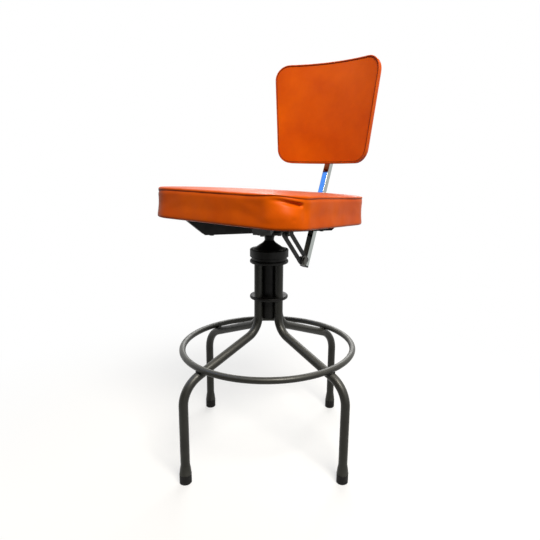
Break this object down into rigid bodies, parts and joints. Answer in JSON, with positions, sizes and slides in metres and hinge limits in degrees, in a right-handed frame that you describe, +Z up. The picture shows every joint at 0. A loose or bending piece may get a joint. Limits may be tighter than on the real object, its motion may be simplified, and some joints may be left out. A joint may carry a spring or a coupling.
{
  "type": "industrial stool",
  "caption": "Swivel work stool: padded vinyl seat and curved back on a screw-lift column of bent tube legs with a foot ring; the back tilts and slides on a chrome bar.",
  "frame": {"origin": "on the floor, on the column's axis", "axes": "+Z up along the column; the sitter faces -Y, so +X is the sitter's left"},
  "size_m": [0.5612, 0.6193, 1.0491],
  "materials": {
    "frame_grey": "semi-gloss gunmetal enamel",
    "column_black": "satin black enamel, a little oily",
    "black_rubber": "matt moulded rubber",
    "chrome": "bright chrome plate on steel tube",
    "plated_steel": "dull zinc plate",
    "bronze": "oiled bronze",
    "orange_vinyl": "soft-gloss grained vinyl over foam",
    "plywood": "plain plywood",
    "black_plastic": "moulded, satin"
  },
  "bodies": {
    "base": {"leg_left": "frame_grey", "leg_rear": "frame_grey", "leg_right": "frame_grey", "leg_front": "frame_grey", "foot_left": "black_rubber", "foot_rear": "black_rubber", "foot_right": "black_rubber", "foot_front": "black_rubber", "foot_ring": "frame_grey", "column_tube": "column_black", "lower_collar": "column_black", "upper_collar": "column_black", "guide_bush": "bronze", "column_plug": "column_black", "thrust_washer": "column_black"},
    "height_nut": {"bell_nut": "column_black", "nut_insert": "bronze"},
    "screw": {"spindle": "plated_steel", "stop_collar": "plated_steel", "swivel_washer": "plated_steel", "swivel_nut": "plated_steel"},
    "seat": {"hub": "column_black", "hub_bush": "bronze", "hub_bolts": "plated_steel", "lower_channel": "column_black", "upper_channel": "column_black", "seat_bolts": "plated_steel", "seat_board": "plywood", "seat_cushion": "orange_vinyl", "back_rail": "column_black", "pivot_bolt": "plated_steel", "pivot_spacers": "plated_steel", "stay_pin": "plated_steel", "stay_spacer": "plated_steel"},
    "stay": {"slotted_stay": "column_black"},
    "back_bar": {"back_bar": "chrome", "bar_top_plug": "black_plastic", "bar_end_plug": "black_plastic", "bar_lug": "plated_steel", "clamp_bolt": "plated_steel", "clamp_washer": "plated_steel"},
    "clamp_nut": {"wing_nut": "plated_steel"},
    "back_slide": {"slide_sleeve": "column_black"},
    "slide_knob": {"sleeve_knob": "black_plastic"},
    "backrest": {"back_pad": "orange_vinyl", "back_board": "plywood", "back_bracket": "column_black", "hinge_pin": "plated_steel"}
  },
  "joints": [
    {"name": "nut_turn", "type": "hinge", "parent": "base", "child": "height_nut", "pos_m": [0, 0, 0.55], "axis": [0, 0, 1], "range_deg": [0, 7200]},
    {"name": "screw_lift", "type": "slide", "parent": "base", "child": "screw", "axis": [0, 0, 1], "range_m": [0, 0.12]},
    {"name": "seat_swivel", "type": "hinge", "parent": "screw", "child": "seat", "pos_m": [0, 0, 0.59], "axis": [0, 0, 1], "continuous": true},
    {"name": "bar_tilt", "type": "hinge", "parent": "seat", "child": "back_bar", "pos_m": [0, 0.219, 0.6], "axis": [1, 0, 0], "range_deg": [-14, 3]},
    {"name": "stay_swing", "type": "hinge", "parent": "seat", "child": "stay", "pos_m": [0, 0.0604, 0.583], "axis": [1, 0, 0], "range_deg": [-2.5, 1]},
    {"name": "clamp_turn", "type": "hinge", "parent": "back_bar", "child": "clamp_nut", "pos_m": [0, 0.144, 0.496], "axis": [1, 0, 0], "range_deg": [0, 360]},
    {"name": "back_height", "type": "slide", "parent": "back_bar", "child": "back_slide", "axis": [0, 0.1219, 0.9925], "range_m": [-0.025, 0.03]},
    {"name": "knob_turn", "type": "hinge", "parent": "back_slide", "child": "slide_knob", "pos_m": [0, 0.30519, 0.85955], "axis": [0, 0.9925, -0.1219], "range_deg": [0, 360]},
    {"name": "back_tilt", "type": "hinge", "parent": "back_slide", "child": "backrest", "pos_m": [0, 0.28187, 0.86241], "axis": [1, 0, 0], "range_deg": [-12, 6]}
  ],
  "couplings": [
    {"joint": "screw_lift", "follows": "nut_turn", "m_per_rad": 0.000954},
    {"joint": "stay_swing", "follows": "bar_tilt", "ratio": 0.13}
  ]
}
